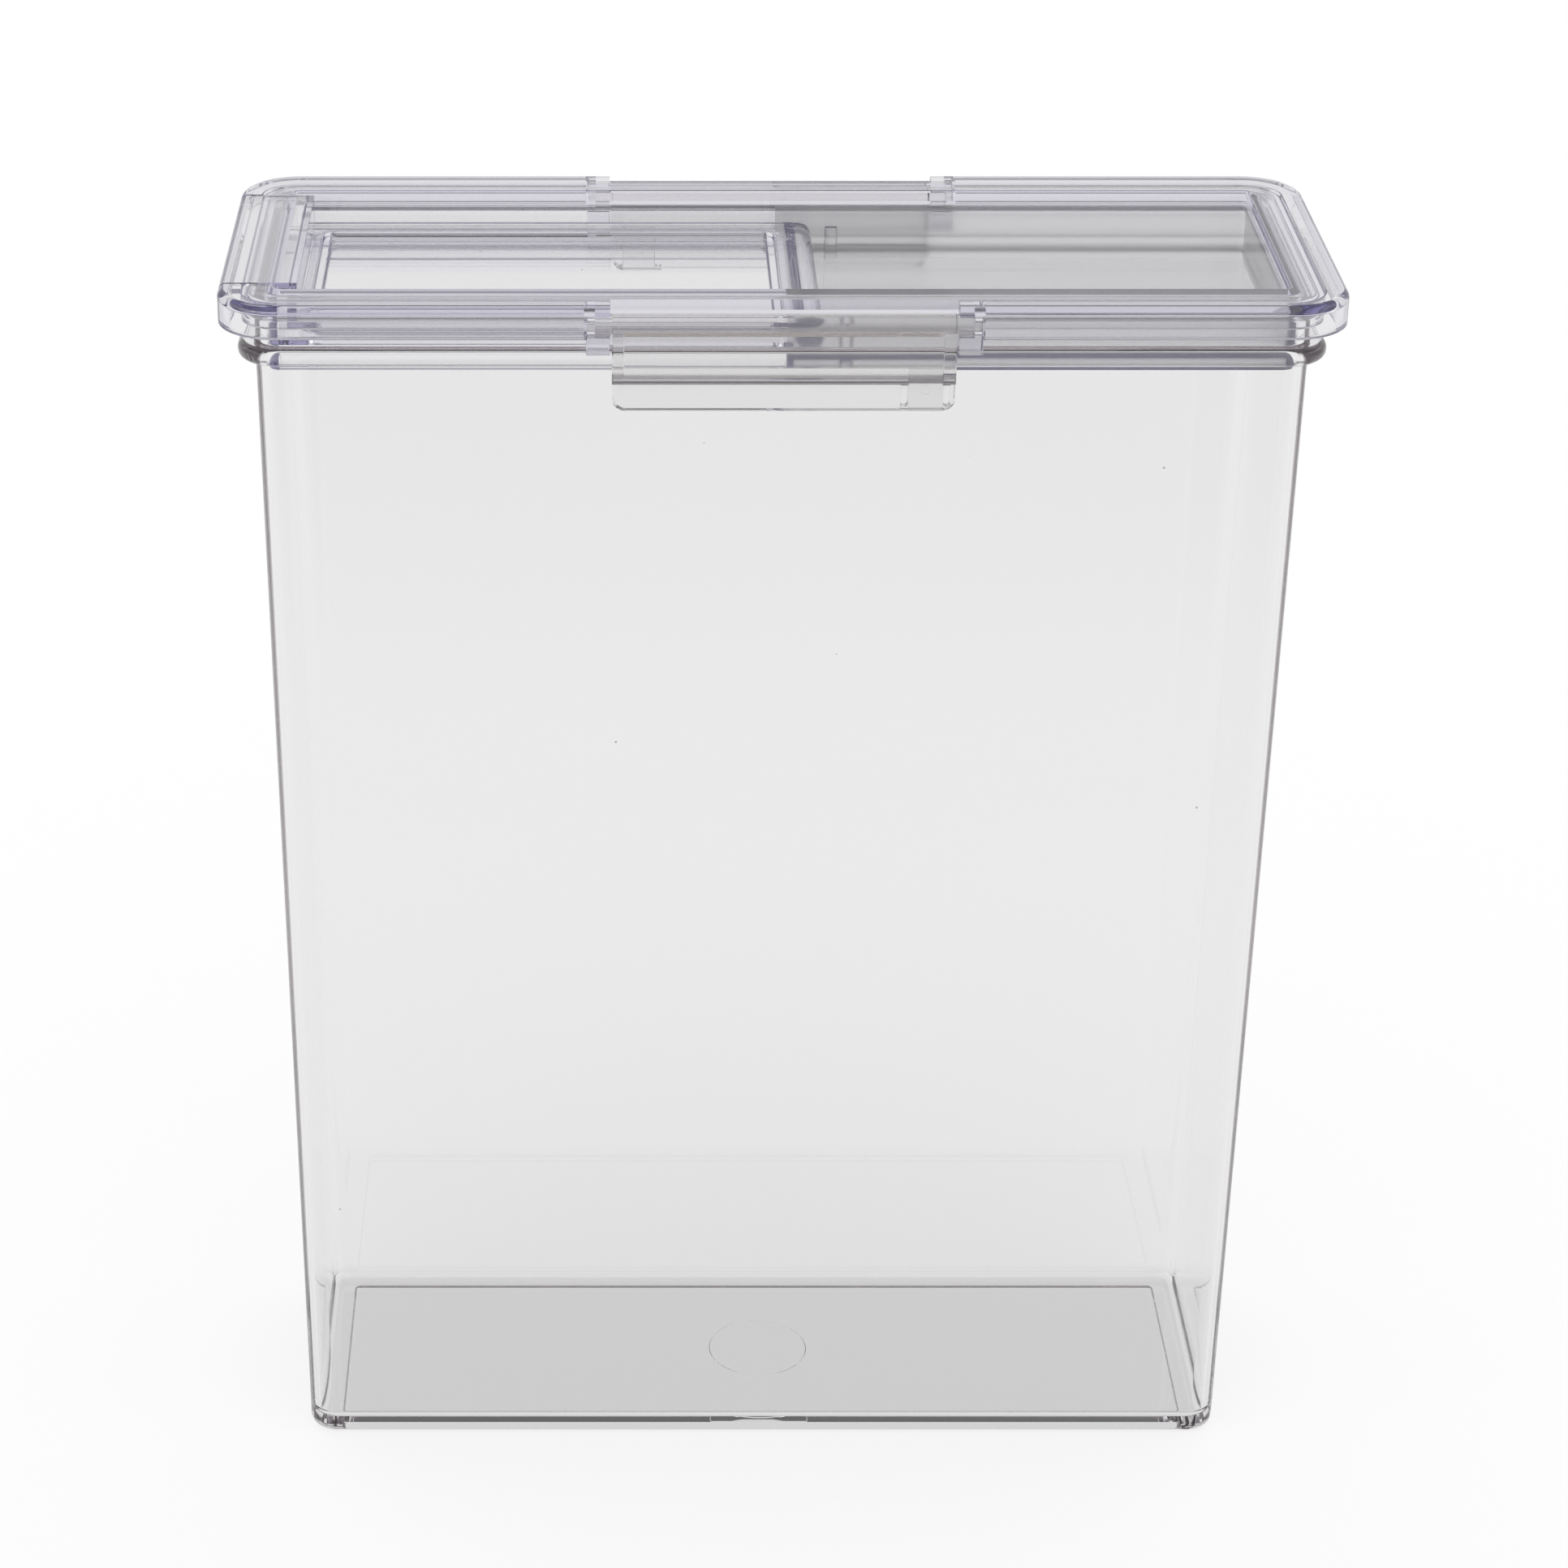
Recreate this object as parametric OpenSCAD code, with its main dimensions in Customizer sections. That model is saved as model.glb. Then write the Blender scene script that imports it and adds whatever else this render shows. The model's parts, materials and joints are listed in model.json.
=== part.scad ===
// Cereal container with a flip spout: a tapered clear bin, a clear lid with a deep tray,
// a hinged spout flap with a sunk window, two hook latches and two silicone seals.
// Millimetres. +X runs along the length towards the closed end of the lid, -Y is the front,
// +Z is up. The origin is the centre of the underside.

/* [Container] */
// Outside length at the mouth
body_w = 234; // [200:1:300]
// Outside depth at the mouth, front to back
body_d = 78.4; // [74:0.2:120]
// Height of the container's rim above the table
body_h = 297.3; // [150:0.1:340]
// Draft of the four walls, degrees from upright
draft = 0.77; // [0.3:0.01:1.5]
// Wall thickness
wall = 2.4; // [1.8:0.1:2.5]
// Thickness of the floor over the pocket in the underside
floor_t = 2.6; // [1.6:0.1:5]
// Outside radius of the upright corners
corner_r = 6; // [6:0.1:10]
// Outside radius between the walls and the underside
base_r = 3; // [1:0.1:4]
// Inside radius between the walls and the floor
inner_base_r = 3.4; // [1:0.1:3.5]
// Depth of the pocket in the underside
foot_h = 1; // [0.4:0.1:2]
// Width of the foot at the two short ends
foot_end = 8.1; // [5:0.1:15]
// Width of the foot along the two long sides
foot_side = 6.2; // [4.5:0.1:15]
// Corner radius of that pocket
pocket_r = 1; // [0.5:0.1:4]
// Diameter of the gate disc in the middle of the underside
gate_disc_d = 24.7; // [10:0.1:40]
// Diameter of the ejector mark beside it
mark_d = 14; // [6:0.1:30]
// Distance of the ejector mark from the middle
mark_x = 57; // [35:1:75]

/* [Bead under the mouth] */
// How far the bead stands out from the wall
bead_out = 3.9; // [3:0.1:5]
// Radius of the bead's rounded edge
bead_r = 2; // [1.2:0.1:2.5]
// Distance from the rim down to the middle of the bead
bead_drop = 8.4; // [7.4:0.1:12]

/* [Lid] */
// How far the lid stands out past the container's wall
lid_over = 8; // [7.4:0.1:10]
// Outside corner radius of the lid
lid_r = 13.5; // [12:0.1:16]
// Radius on the lid's upper outside edge
edge_r = 1.8; // [0.5:0.1:2.2]
// Radius on the inner edge of the rim
inner_edge_r = 1.4; // [0.4:0.1:1.8]
// Height of the lid's top above the container's rim
lid_rise = 5.5; // [5:0.1:8]
// Thickness of the rim's plate
plate_t = 2.4; // [1.8:0.1:2.8]
// Height of the skirt, with the plate
skirt_h = 7.7; // [5:0.1:8]
// Thickness of the skirt
skirt_t = 2.4; // [1.6:0.1:2.4]
// Gap from the container's wall out to the channel rib
rib_gap = 1.3; // [0.8:0.1:1.4]
// Thickness of the channel rib
rib_t = 1.6; // [1:0.1:1.6]
// Height of the channel rib, with the plate
rib_h = 6.8; // [5:0.1:7]
// Gap between the plug wall and the inside of the mouth
plug_gap = 0.65; // [0.3:0.05:1]
// Thickness of the plug wall, which is also the tray's wall
plug_t = 2.3; // [1.9:0.1:2.6]
// Depth of the tray's floor below the top of the lid
well_depth = 16.4; // [15:0.1:20]
// Thickness of the tray's floor
well_t = 2; // [1.2:0.1:3]

/* [Spout flap] */
// Distance from the middle of the lid to the hinge axis
hinge_x = 6; // [-10:0.5:20]
// Radius of the hinge barrel
barrel_r = 3.3; // [2.8:0.1:3.4]
// Radius of the hinge pins
pin_r = 2; // [1.2:0.1:2.4]
// How far each hinge pin goes into the lid's wall
pin_in = 1.3; // [0.8:0.1:1.4]
// Radial clearance of the pins in their holes
pin_fit = 0.05; // [0.02:0.01:0.1]
// Depth of the flap's top below the top of the lid
flap_drop = 7.3; // [6.8:0.1:8]
// Thickness of the flap
flap_t = 2; // [1.4:0.1:2.2]
// Gap between the flap's sides and the tray's walls
flap_gap = 0.5; // [0.3:0.1:0.8]
// Border between the flap's long edges and the window
window_side = 7.3; // [6:0.1:9]
// Border between the tab's upright wall and the window
window_end = 4.1; // [3:0.1:8]
// Border between the hinge axis and the window
window_hinge = 7.5; // [7.3:0.1:9]
// Depth of the window below the flap's top
window_sink = 2.5; // [1:0.1:2.8]
// Thickness of the window's floor and walls
window_t = 1.8; // [1.2:0.1:1.8]
// Plan radius of the window's corners
window_r = 1.5; // [0.8:0.1:3]
// How far the flap's lip reaches into the pour opening
lip_in = 1.6; // [0.6:0.1:2]
// Gap between that lip and the pour opening
lip_gap = 0.6; // [0.4:0.05:0.7]
// Thickness of the wall between the pour opening and the tray
cross_t = 1.6; // [1:0.1:1.6]
// Thickness of the shelf round the pour opening
shelf_t = 2; // [1.2:0.1:3]
// Width of the tab across the left rim
tab_w = 62; // [40:1:64]
// Thickness of the tab's top
tab_t = 1.8; // [1.2:0.1:2]
// Thickness of the upright wall that joins the tab to the flap
riser_t = 2; // [1.2:0.1:2.4]
// Gap between that upright wall and the plug wall
riser_gap = 2.05; // [0.6:0.05:3]
// Gap on each side of the tab
tab_gap = 0.6; // [0.3:0.1:1]
// Thickness of the spout's ledge under the tab
ledge_t = 1.5; // [1:0.1:1.5]
// Width of each stop rib beside the hinge
stop_w = 3; // [1.5:0.1:5]
// How far the stop ribs stand out from the tray's walls
stop_out = 1.5; // [0.8:0.1:3]

/* [Latches] */
// Length of a latch
latch_w = 75.6; // [50:0.2:100]
// Thickness of a latch's plate
latch_t = 1.9; // [1.2:0.1:1.9]
// Radius of a latch's hinge barrel
latch_r = 2.4; // [2.1:0.1:2.5]
// Radius of a latch's pins
latch_pin_r = 2; // [1.2:0.1:2]
// Length of bare pin between the latch and the lid's ear
latch_reach = 3.7; // [1:0.1:6]
// Thickness of the lid's ears
ear_t = 2.4; // [2:0.1:4]
// How far each latch pin goes into its ear
latch_in = 1.6; // [1:0.1:1.7]
// Gap between the ears and the bead below them
ear_gap = 0.7; // [0.5:0.1:1.5]
// Gap between an ear's foot and the pin above it
foot_gap = 0.2; // [0.1:0.1:1]
// Gap at each end of a latch
end_gap = 0.4; // [0.3:0.1:1]
// Depth of the latch axis below the top of the lid
latch_drop = 4.9; // [4.8:0.1:5.5]
// Gap between a closed hook and the underside of the bead
hook_gap = 0.3; // [0.2:0.05:0.6]
// Height of the hook
hook_h = 2.2; // [1.4:0.1:3]
// Gap between the hook's tip and the container's wall
hook_tip = 1; // [0.9:0.1:1.4]
// Length of the pull tab below the hook
pull_h = 5.8; // [3:0.1:12]
// Radius of the pull tab's lower corners
pull_r = 3; // [1:0.1:5]
// Width of the ribs at a latch's two ends
end_rib = 2.7; // [1.5:0.1:5]
// Gap between those ribs and the bead
rib_clear = 0.4; // [0.3:0.1:0.8]
// Width of the matt pad at the gate
gate_w = 7.7; // [5:0.1:9]
// Height of the matt pad
gate_h = 10; // [6:0.1:12]
// Distance from the latch's end to the middle of the pad
gate_end = 6.6; // [6.5:0.1:12]
// Width of the slot on each side of the pad's block
slot_w = 1.6; // [1:0.1:1.6]
// Thickness of that block
block_t = 1; // [0.5:0.1:1.5]

/* [Seals] */
// Height of the lid's seal
lid_seal_t = 1.8; // [1.2:0.1:1.8]
// Gap between the seal and the sides of its channel
seal_side = 0.2; // [0.1:0.05:0.4]
// Gap under each seal, where the real one is just touched
seal_gap = 0.1; // [0.05:0.05:0.2]
// Width of the flap's seal
spout_seal_w = 2; // [1.2:0.1:2.1]
// Height of the flap's seal
spout_seal_t = 2.4; // [2:0.1:2.6]

/* [Hidden] */

// Facets of a true circle, and of the circles that a hull joins
fine = 96;
hull_fine = 32;
// Step between the points of a hulled fillet, in degrees
fillet_step = 15;
// A cut runs past the face it opens by this much
past = 1;
// Depth of a moulding mark
mark_depth = 0.25;
// Width of the ejector mark's line
mark_line = 0.4;
// How far a joined piece reaches into its neighbour
tuck = 0.2;
// Least radius of an inner corner
min_r = 0.6;
// Flat that stays inside a hulled fillet
flat = 0.1;
// Thickness of the slabs at a hull's upper end
thin = 0.01;

// Levels of the container
bead_z = body_h - bead_drop;
lean = tan(draft);
cavity_z = foot_h + floor_t;

// Levels of the lid, from the top down
top_z = body_h + lid_rise;
plate_z = top_z - plate_t;
skirt_z = top_z - skirt_h;
rib_z = top_z - rib_h;
roof_z = body_h + seal_gap + lid_seal_t;
ledge_z = roof_z + ledge_t;
tab_z = top_z - tab_t;
well_z = top_z - well_depth;
tray_z = well_z - well_t;

// Outlines of the lid, each as length and depth
lid_w = body_w + 2 * lid_over;
lid_d = body_d + 2 * lid_over;
rib_out = 2 * (rib_gap + rib_t);
rib_r = corner_r + rib_gap;
plug_w = body_w - 2 * (wall + plug_gap);
plug_d = body_d - 2 * (wall + plug_gap);
plug_r = corner_r - wall - plug_gap;
recess_w = plug_w - 2 * plug_t;
recess_d = plug_d - 2 * plug_t;
recess_r = max(plug_r - plug_t, min_r);

// Levels and edges of the flap
flap_z = top_z - flap_drop;
flap_low = flap_z - flap_t;
hinge_z = flap_z - barrel_r;
flap_y = recess_d / 2 - flap_gap;
riser_x = -recess_w / 2 + riser_gap;
window_x0 = riser_x + riser_t + window_end;
window_x1 = hinge_x - window_hinge;
window_y = flap_y - window_side;
window_z = flap_z - window_sink;
shelf_z = flap_low - spout_seal_t - seal_gap;
lip_z = shelf_z - lip_in;
opening_x1 = window_x1 + window_t + lip_gap;
cross_x = opening_x1 + cross_t;
notch_y = tab_w / 2 + tab_gap;
notch_x = lid_w / 2 - skirt_t - tab_gap;
cheek_t = rib_t;

// Stop ribs, beside the hinge barrel
stop_x = hinge_x + 2 * barrel_r;
stop_top = hinge_z + pin_r + pin_fit;

// Latch axis, at the front, and the bay that holds the latch
latch_y = lid_d / 2 - latch_r;
latch_z = top_z - latch_drop;
bay_y = body_d / 2 + rib_gap + rib_t;
ear_x = latch_w / 2 + latch_reach;
ear_low = bead_z + bead_r + ear_gap;
ear_step = 0.4;
hook_z = bead_z - bead_r - hook_gap;
hook_low = hook_z - hook_h;
latch_low = hook_low - pull_h;
plate_in = lid_d / 2 - latch_t;
hook_in = body_d / 2 - lean * (bead_z - hook_z) + hook_tip;
rib_back = body_d / 2 + bead_out + rib_clear;
gate_x = gate_end - latch_w / 2;
gate_mark_d = 2;
slot_low = latch_low + slot_w;

// Tints of the clear mouldings and of the silicone
clear_body = [0.85, 0.86, 0.88, 0.45];
clear_lid = [0.76, 0.74, 0.84, 0.55];
clear_flap = [0.80, 0.79, 0.84, 0.5];
clear_latch = [0.80, 0.79, 0.76, 0.7];
seal_tint = [0.93, 0.93, 0.94, 0.8];

// A rectangle with true round corners
module rounded(w, d, r) {
    square([w - 2 * r, d], center = true);
    square([w, d - 2 * r], center = true);
    for (x = [-1, 1], y = [-1, 1])
        translate([x * (w / 2 - r), y * (d / 2 - r)])
            circle(r, $fn = fine);
}

// A rounded bar from z0 up to z1
module block(w, d, r, z0, z1) {
    translate([0, 0, z0])
        linear_extrude(z1 - z0)
            rounded(w, d, r);
}

// A wall that follows a rounded rectangle, thickness t inwards
module fence(w, d, r, t, z0, z1) {
    translate([0, 0, z0])
        linear_extrude(z1 - z0)
            difference() {
                rounded(w, d, r);
                rounded(w - 2 * t, d - 2 * t, max(r - t, min_r));
            }
}

// Carries a profile round a rounded rectangle. The profile's x is measured outwards
// from the centre of the corner, so x = r lies on the outline, and its y is the height.
module around(w, d, r) {
    for (k = [0 : 3]) {
        a = (k % 2 == 0 ? w : d) / 2 - r;
        b = (k % 2 == 0 ? d : w) / 2 - r;
        rotate([0, 0, 90 * k])
            translate([a, b, 0]) {
                rotate([90, 0, 0])
                    linear_extrude(2 * b)
                        children();
                rotate_extrude(angle = 90, $fn = fine)
                    children();
            }
    }
}

// What a convex round edge of radius r takes off a square corner at [0, 0],
// with the cut running past the corner's upright face by over
module edge_cut(r, over) {
    difference() {
        translate([-r, -r])
            square([r + over, r + past]);
        translate([-r, -r])
            circle(r, $fn = fine);
    }
}

// A box given by its two opposite corners
module span(low, high) {
    translate(low)
        cube(high - low);
}

// ---- The container ----

// A tapered block with a rounded lower edge: one hull over four feet and four upper corners.
// inset moves its sides in from the outside of the wall.
module tapered(inset, r, fillet, z0, z1) {
    hull()
        for (x = [-1, 1], y = [-1, 1]) {
            for (z = [z0, z1]) {
                h = inset + lean * (bead_z - z);
                translate([x * (body_w / 2 - h - r), y * (body_d / 2 - h - r), 0])
                    if (z == z0)
                        rotate_extrude($fn = hull_fine)
                            polygon(concat(
                                [[0, z0 + fillet], [0, z0]],
                                [for (a = [-90 : fillet_step : 0])
                                    [r - fillet + fillet * cos(a), z0 + fillet + fillet * sin(a)]]));
                    else
                        translate([0, 0, z1 - thin])
                            cylinder(h = thin, r = r, $fn = hull_fine);
            }
        }
}

module underside() {
    base_w = body_w - 2 * lean * bead_z;
    base_d = body_d - 2 * lean * bead_z;
    translate([0, 0, -past])
        linear_extrude(past + foot_h)
            rounded(base_w - 2 * foot_end, base_d - 2 * foot_side, pocket_r);
    translate([0, 0, foot_h - past])
        cylinder(h = past + mark_depth, d = gate_disc_d, $fn = fine);
    translate([mark_x, 0, foot_h - past])
        difference() {
            cylinder(h = past + mark_depth, d = mark_d, $fn = fine);
            cylinder(h = past + mark_depth, d = mark_d - 2 * mark_line, $fn = fine);
        }
}

module bead() {
    around(body_w, body_d, corner_r)
        translate([corner_r, bead_z]) {
            translate([-wall / 2, -bead_r])
                square([wall / 2 + bead_out - bead_r, 2 * bead_r]);
            translate([bead_out - bead_r, 0])
                circle(bead_r, $fn = fine);
        }
}

module body() {
    inner_r = corner_r - wall;
    color(clear_body) {
        difference() {
            tapered(0, corner_r, base_r, 0, bead_z);
            tapered(wall, inner_r, min(inner_base_r, inner_r - flat), cavity_z, bead_z + thin);
            underside();
        }
        fence(body_w, body_d, corner_r, wall, bead_z, body_h);
        bead();
    }
}

// ---- The lid ----

// The space inside the lid's outer surface: a slab with a rounded upper edge
module lid_space(z0) {
    difference() {
        block(lid_w, lid_d, lid_r, z0, top_z);
        around(lid_w, lid_d, lid_r)
            translate([lid_r, top_z])
                edge_cut(edge_r, past);
    }
}

// The rim's plate with its skirt and the ribs that show through it
module rim() {
    difference() {
        lid_space(skirt_z);
        block(lid_w - 2 * skirt_t, lid_d - 2 * skirt_t, lid_r - skirt_t, skirt_z - past, plate_z);
        block(recess_w, recess_d, recess_r, skirt_z - past, top_z + past);
        around(recess_w, recess_d, recess_r)
            translate([recess_r, top_z])
                mirror([1, 0])
                    edge_cut(inner_edge_r, recess_r / 2);
    }
    fence(body_w + rib_out, body_d + rib_out, rib_r + rib_t, rib_t, rib_z, plate_z);
    fence(body_w + rib_out, body_d + rib_out, rib_r + rib_t,
        rib_gap + rib_t + wall + plug_gap + plug_t / 2, roof_z, plate_z);
    fence(plug_w, plug_d, plug_r, plug_t, tray_z, plate_z);
}

// The deep tray to the right of the hinge and the shelf round the pour opening
module tray() {
    hidden = plug_t / 2;
    span([opening_x1, -recess_d / 2 - hidden, tray_z],
        [recess_w / 2 + hidden, recess_d / 2 + hidden, well_z]);
    span([opening_x1, -recess_d / 2 - hidden, tray_z], [cross_x, recess_d / 2 + hidden, shelf_z]);
    difference() {
        span([-recess_w / 2 - hidden, -recess_d / 2 - hidden, shelf_z - shelf_t],
            [cross_x, recess_d / 2 + hidden, shelf_z]);
        pour_opening();
    }
    for (y = [-1, 1])
        stop_rib(y);
}

module pour_opening() {
    grow = window_t + lip_gap;
    translate([(window_x0 + window_x1) / 2, 0, shelf_z - shelf_t - past])
        linear_extrude(shelf_t + 2 * past)
            rounded(window_x1 - window_x0 + 2 * grow, 2 * (window_y + grow), window_r + grow);
}

// A rib on the tray's wall beside the hinge, which stops the open flap
module stop_rib(side) {
    r = stop_w / 2;
    translate([stop_x + r, side * (recess_d / 2 - stop_out + r), well_z - well_t / 2]) {
        cylinder(h = stop_top - well_z + well_t / 2, r = r, $fn = fine);
        translate([-r, side > 0 ? 0 : -stop_out, 0])
            cube([stop_w, stop_out, stop_top - well_z + well_t / 2]);
    }
}

// The gap for the tab: it takes away the rim's top and the skirt, down to the ledge
module tab_gap_cut() {
    span([-lid_w / 2 - past, -notch_y, ledge_z], [-recess_w / 2 + past, notch_y, top_z + past]);
    span([-lid_w / 2 - past, -notch_y, skirt_z - past], [-notch_x, notch_y, top_z + past]);
}

// The ledge that the food slides over, with a cheek at each end of the gap
module spout_ledge() {
    span([-notch_x, -notch_y - cheek_t, roof_z], [-recess_w / 2 - plug_t / 2, notch_y + cheek_t, ledge_z]);
    intersection() {
        lid_space(skirt_z);
        for (y = [-1, 1])
            translate([0, y * (notch_y + cheek_t / 2), 0])
                span([-lid_w / 2, -cheek_t / 2, roof_z], [-recess_w / 2 - plug_t / 2, cheek_t / 2, top_z]);
    }
}

// The bay for one latch, at the front: the skirt is open between the ears,
// and the plate is cut back over the latch's barrel
module bay_cut() {
    span([-ear_x, -lid_d / 2 - past, skirt_z - past], [ear_x, -bay_y, plate_z]);
    span([-latch_w / 2 - end_gap, -lid_d / 2 - past, plate_z - past],
        [latch_w / 2 + end_gap, -bay_y, top_z + past]);
}

// Two ears, each with a foot that reaches in under its pin, and the wall behind the latch
module ears() {
    foot_x = latch_w / 2 + end_gap;
    foot_w = ear_x + ear_t - ear_step - foot_x;
    for (x = [-1, 1]) {
        translate([x * (ear_x + ear_t / 2), 0, 0])
            span([-ear_t / 2, -lid_d / 2, skirt_z], [ear_t / 2, tuck - bay_y, plate_z]);
        translate([x * (foot_x + foot_w / 2), 0, 0])
            span([-foot_w / 2, -lid_d / 2, ear_low],
                [foot_w / 2, tuck - bay_y, latch_z - latch_pin_r - foot_gap]);
    }
    span([-ear_x - ear_t + ear_step, -bay_y, ear_low],
        [ear_x + ear_t - ear_step, rib_t - bay_y, plate_z]);
}

module ear_holes() {
    deep = latch_in + pin_fit;
    translate([-ear_x - deep, -latch_y, latch_z])
        rotate([0, 90, 0])
            cylinder(h = 2 * (ear_x + deep), r = latch_pin_r + pin_fit, $fn = fine);
}

module flap_holes() {
    deep = recess_d / 2 + pin_in + pin_fit;
    translate([hinge_x, deep, hinge_z])
        rotate([90, 0, 0])
            cylinder(h = 2 * deep, r = pin_r + pin_fit, $fn = fine);
}

module lid() {
    color(clear_lid)
        difference() {
            union() {
                difference() {
                    rim();
                    tab_gap_cut();
                    bay_cut();
                    rotate([0, 0, 180])
                        bay_cut();
                }
                tray();
                spout_ledge();
                ears();
                rotate([0, 0, 180])
                    ears();
            }
            ear_holes();
            rotate([0, 0, 180])
                ear_holes();
            flap_holes();
        }
}

// ---- The spout flap ----

module flap_tab() {
    intersection() {
        lid_space(skirt_z);
        union() {
            span([-lid_w / 2, -tab_w / 2, tab_z], [riser_x + riser_t, tab_w / 2, top_z]);
            span([-lid_w / 2, -tab_w / 2, skirt_z], [-lid_w / 2 + skirt_t, tab_w / 2, top_z]);
        }
    }
    span([riser_x, -tab_w / 2, flap_low], [riser_x + riser_t, tab_w / 2, top_z - tab_t / 2]);
}

// The window's plan, grown outwards
module window_plan(grow) {
    translate([(window_x0 + window_x1) / 2, 0])
        rounded(window_x1 - window_x0 + 2 * grow, 2 * (window_y + grow), window_r + grow);
}

module spout_flap() {
    tray_low = window_z - window_t;
    color(clear_flap) {
        difference() {
            union() {
                span([riser_x, -flap_y, flap_low], [hinge_x, flap_y, flap_z]);
                translate([0, 0, lip_z])
                    linear_extrude(flap_low - lip_z + flap_t / 2)
                        window_plan(window_t);
            }
            translate([0, 0, window_z])
                linear_extrude(window_sink + past)
                    window_plan(0);
            translate([0, 0, lip_z - past])
                linear_extrude(tray_low - lip_z + past)
                    window_plan(0);
        }
        translate([hinge_x, flap_y, hinge_z])
            rotate([90, 0, 0])
                cylinder(h = 2 * flap_y, r = barrel_r, $fn = fine);
        translate([hinge_x, recess_d / 2 + pin_in, hinge_z])
            rotate([90, 0, 0])
                cylinder(h = recess_d + 2 * pin_in, r = pin_r, $fn = fine);
        flap_tab();
    }
}

// ---- The latches ----

// A latch's plate seen from the front, with round lower corners
module latch_outline() {
    translate([-latch_w / 2, latch_low + pull_r])
        square([latch_w, latch_z - latch_low - pull_r]);
    translate([-latch_w / 2 + pull_r, latch_low])
        square([latch_w - 2 * pull_r, 2 * pull_r]);
    for (x = [-1, 1])
        translate([x * (latch_w / 2 - pull_r), latch_low + pull_r])
            circle(pull_r, $fn = fine);
}

// The hook seen from the end: flat on top, sloping up to its tip from below
module hook_profile() {
    polygon([
        [plate_in + tuck, hook_low],
        [plate_in + tuck, hook_z],
        [hook_in, hook_z],
        [hook_in, hook_z - hook_h / 2],
        [(hook_in + plate_in) / 2, hook_low]]);
}

// The block behind the gate pad, inside the pull tab, with a round-ended slot at each side
module gate_block() {
    half = gate_w / 2 + slot_w;
    intersection() {
        span([gate_x - half, plate_in - block_t, latch_low],
            [gate_x + half, plate_in + tuck, hook_low + tuck]);
        translate([0, plate_in + tuck, 0])
            rotate([90, 0, 0])
                linear_extrude(block_t + tuck)
                    difference() {
                        latch_outline();
                        for (x = [-1, 1])
                            translate([gate_x + x * (gate_w + slot_w) / 2, slot_low]) {
                                circle(d = slot_w, $fn = fine);
                                translate([-slot_w / 2, 0])
                                    square([slot_w, hook_low - slot_low]);
                            }
                    }
    }
}

// The matt pad, let into the outer face, with the mark of the gate in its middle
module gate_pad_cut() {
    span([gate_x - gate_w / 2, lid_d / 2 - mark_depth / 2, latch_low - past],
        [gate_x + gate_w / 2, lid_d / 2 + past, latch_low + gate_h]);
    translate([gate_x, lid_d / 2 + past, latch_low + gate_h / 2])
        rotate([90, 0, 0])
            cylinder(h = past + mark_depth, d = gate_mark_d, $fn = fine);
}

// One latch, on the side of +Y, with its two pins
module latch() {
    color(clear_latch) {
        difference() {
            translate([0, lid_d / 2, 0])
                rotate([90, 0, 0])
                    linear_extrude(latch_t)
                        latch_outline();
            gate_pad_cut();
        }
        translate([-latch_w / 2, latch_y, latch_z])
            rotate([0, 90, 0])
                cylinder(h = latch_w, r = latch_r, $fn = fine);
        translate([-ear_x - latch_in, latch_y, latch_z])
            rotate([0, 90, 0])
                cylinder(h = 2 * (ear_x + latch_in), r = latch_pin_r, $fn = fine);
        for (x = [-1, 1])
            translate([x * (latch_w - end_rib) / 2, 0, 0])
                span([-end_rib / 2, rib_back, hook_low], [end_rib / 2, plate_in + tuck, latch_z]);
        translate([-latch_w / 2, 0, 0])
            rotate([90, 0, 90])
                linear_extrude(latch_w)
                    hook_profile();
        gate_block();
    }
}

module front_latch() {
    rotate([0, 0, 180])
        latch();
}

module rear_latch() {
    latch();
}

// ---- The seals ----

module lid_seal() {
    outer = 2 * (rib_gap - seal_side);
    width = rib_gap + wall + plug_gap - 2 * seal_side;
    color(seal_tint)
        fence(body_w + outer, body_d + outer, rib_r - seal_side, width, body_h + seal_gap, roof_z);
}

module spout_seal() {
    color(seal_tint)
        translate([0, 0, shelf_z + seal_gap])
            linear_extrude(spout_seal_t)
                difference() {
                    window_plan(window_t + seal_side + spout_seal_w);
                    window_plan(window_t + seal_side);
                }
}

body();
lid();
spout_flap();
front_latch();
rear_latch();
lid_seal();
spout_seal();
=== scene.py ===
# %% [markdown]
# Cereal container with a flip spout, dressed for a studio picture. The construction comes from the
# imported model: this lesson loads it as a fixed frame, then gives each clear moulding its real finish.
# Everything is in metres in that frame, so a piece goes where the frame says, with no fitting. Sizes
# are written in millimetres, as on a drawing, and MM turns them into metres.

# %% Load the frame
import json
import math

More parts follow.
